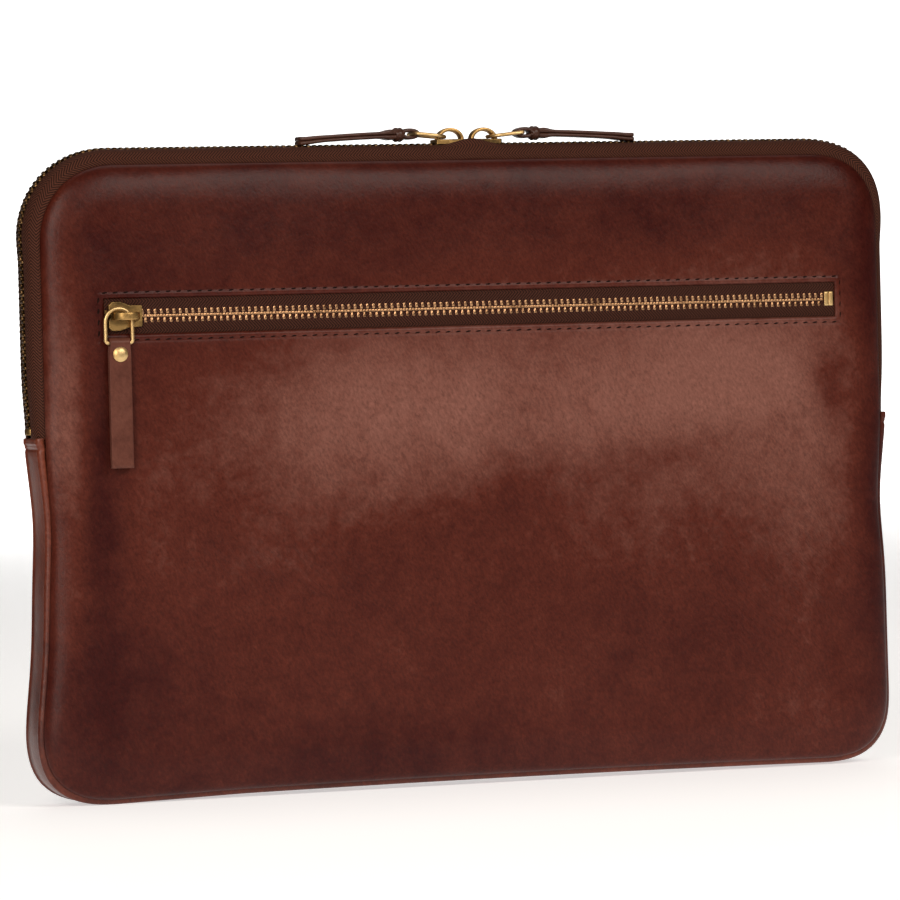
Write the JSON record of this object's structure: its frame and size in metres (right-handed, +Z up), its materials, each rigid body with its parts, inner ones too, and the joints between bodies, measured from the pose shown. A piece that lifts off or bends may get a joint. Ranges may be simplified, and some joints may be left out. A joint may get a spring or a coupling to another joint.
{
  "type": "zip-round leather laptop sleeve",
  "caption": "Slim padded leather sleeve that stands upright, with a two-slider zip round its upper half, a zipped front pocket and leather pulls.",
  "frame": {"origin": "middle of the flat outer face of the base gusset, on which the sleeve stands", "axes": "+X along the long side, +Y out of the back panel, +Z up to the zip"},
  "size_m": [0.3866, 0.0397, 0.2744],
  "materials": {
    "patina_leather": "waxed vegetable-tanned leather with a marbled red-brown patina",
    "strap_leather": "waxed leather strap",
    "lining": "soft dark brown napped lining",
    "pocket_cotton": "plain dark cotton",
    "foam": "closed-cell foam sheet, hidden between leather and lining",
    "zip_tape": "dark brown herringbone tape",
    "thread": "dark brown waxed thread",
    "antique_brass": "antique brass, darkened in its hollows",
    "bright_brass": "light brass, polished by handling"
  },
  "bodies": {
    "shell": {"front_panel": "patina_leather", "back_panel_lower": "patina_leather", "gusset": "patina_leather", "gusset_lining": "lining", "gusset_end_stitches": "thread", "front_padding": "foam", "front_lining": "lining", "back_padding_lower": "foam", "back_lining_lower": "lining", "pocket_bag_front": "pocket_cotton", "pocket_bag_back": "pocket_cotton", "zip_tape_front": "zip_tape", "zip_teeth_front": "antique_brass", "zip_end_stop_left": "antique_brass", "zip_end_stop_right": "antique_brass", "pocket_tape_upper": "zip_tape", "pocket_tape_lower": "zip_tape", "pocket_teeth_upper": "antique_brass", "pocket_teeth_lower": "antique_brass", "pocket_box_stop": "antique_brass", "pocket_top_stops": "antique_brass", "pocket_stitching": "thread"},
    "back_flap": {"back_panel_upper": "patina_leather", "back_padding_upper": "foam", "back_lining_upper": "lining", "zip_tape_back": "zip_tape", "zip_teeth_back": "antique_brass"},
    "left_slider": {"left_slider_body": "antique_brass", "left_slider_bridge": "antique_brass"},
    "left_ring": {"left_pull_ring": "bright_brass"},
    "left_pull": {"left_leather_pull": "strap_leather"},
    "right_slider": {"right_slider_body": "antique_brass", "right_slider_bridge": "antique_brass"},
    "right_ring": {"right_pull_ring": "bright_brass"},
    "right_pull": {"right_leather_pull": "strap_leather"},
    "pocket_slider": {"pocket_slider_body": "antique_brass", "pocket_slider_bridge": "antique_brass"},
    "pocket_ring": {"pocket_pull_ring": "bright_brass"},
    "pocket_tab": {"pocket_leather_tab": "strap_leather", "pocket_rivet_cap": "bright_brass", "pocket_rivet_post": "bright_brass"}
  },
  "joints": [
    {"name": "mouth_fold", "type": "hinge", "parent": "shell", "child": "back_flap", "pos_m": [0, 0.017, 0.15], "axis": [-1, 0, 0], "range_deg": [0, 35], "stiffness_Nm_per_rad": 0.6, "deforming": ["zip_tape_back", "zip_teeth_back"]},
    {"name": "left_slider_travel", "type": "slide", "parent": "shell", "child": "left_slider", "axis": [-1, 0, 0], "range_m": [0, 0.143]},
    {"name": "left_ring_lift", "type": "hinge", "parent": "left_slider", "child": "left_ring", "pos_m": [-0.0062, 0, 0.27055], "axis": [0, 1, 0], "range_deg": [0, 70]},
    {"name": "left_pull_lift", "type": "hinge", "parent": "left_ring", "child": "left_pull", "pos_m": [-0.02012, 0, 0.27201], "axis": [0, 1, 0], "range_deg": [0, 30]},
    {"name": "right_slider_travel", "type": "slide", "parent": "shell", "child": "right_slider", "axis": [1, 0, 0], "range_m": [0, 0.136]},
    {"name": "right_ring_lift", "type": "hinge", "parent": "right_slider", "child": "right_ring", "pos_m": [0.0136, 0, 0.27055], "axis": [0, -1, 0], "range_deg": [0, 70]},
    {"name": "right_pull_lift", "type": "hinge", "parent": "right_ring", "child": "right_pull", "pos_m": [0.02752, 0, 0.27201], "axis": [0, -1, 0], "range_deg": [0, 30]},
    {"name": "pocket_slider_travel", "type": "slide", "parent": "shell", "child": "pocket_slider", "axis": [1, 0, 0], "range_m": [0, 0.3]},
    {"name": "pocket_ring_swing", "type": "hinge", "parent": "pocket_slider", "child": "pocket_ring", "pos_m": [-0.1559, -0.01915, 0.1963], "axis": [0, -1, 0], "range_deg": [-35, 35]},
    {"name": "pocket_tab_lift", "type": "hinge", "parent": "pocket_ring", "child": "pocket_tab", "pos_m": [-0.1559, -0.01915, 0.188], "axis": [-1, 0, 0], "range_deg": [0, 120]}
  ]
}
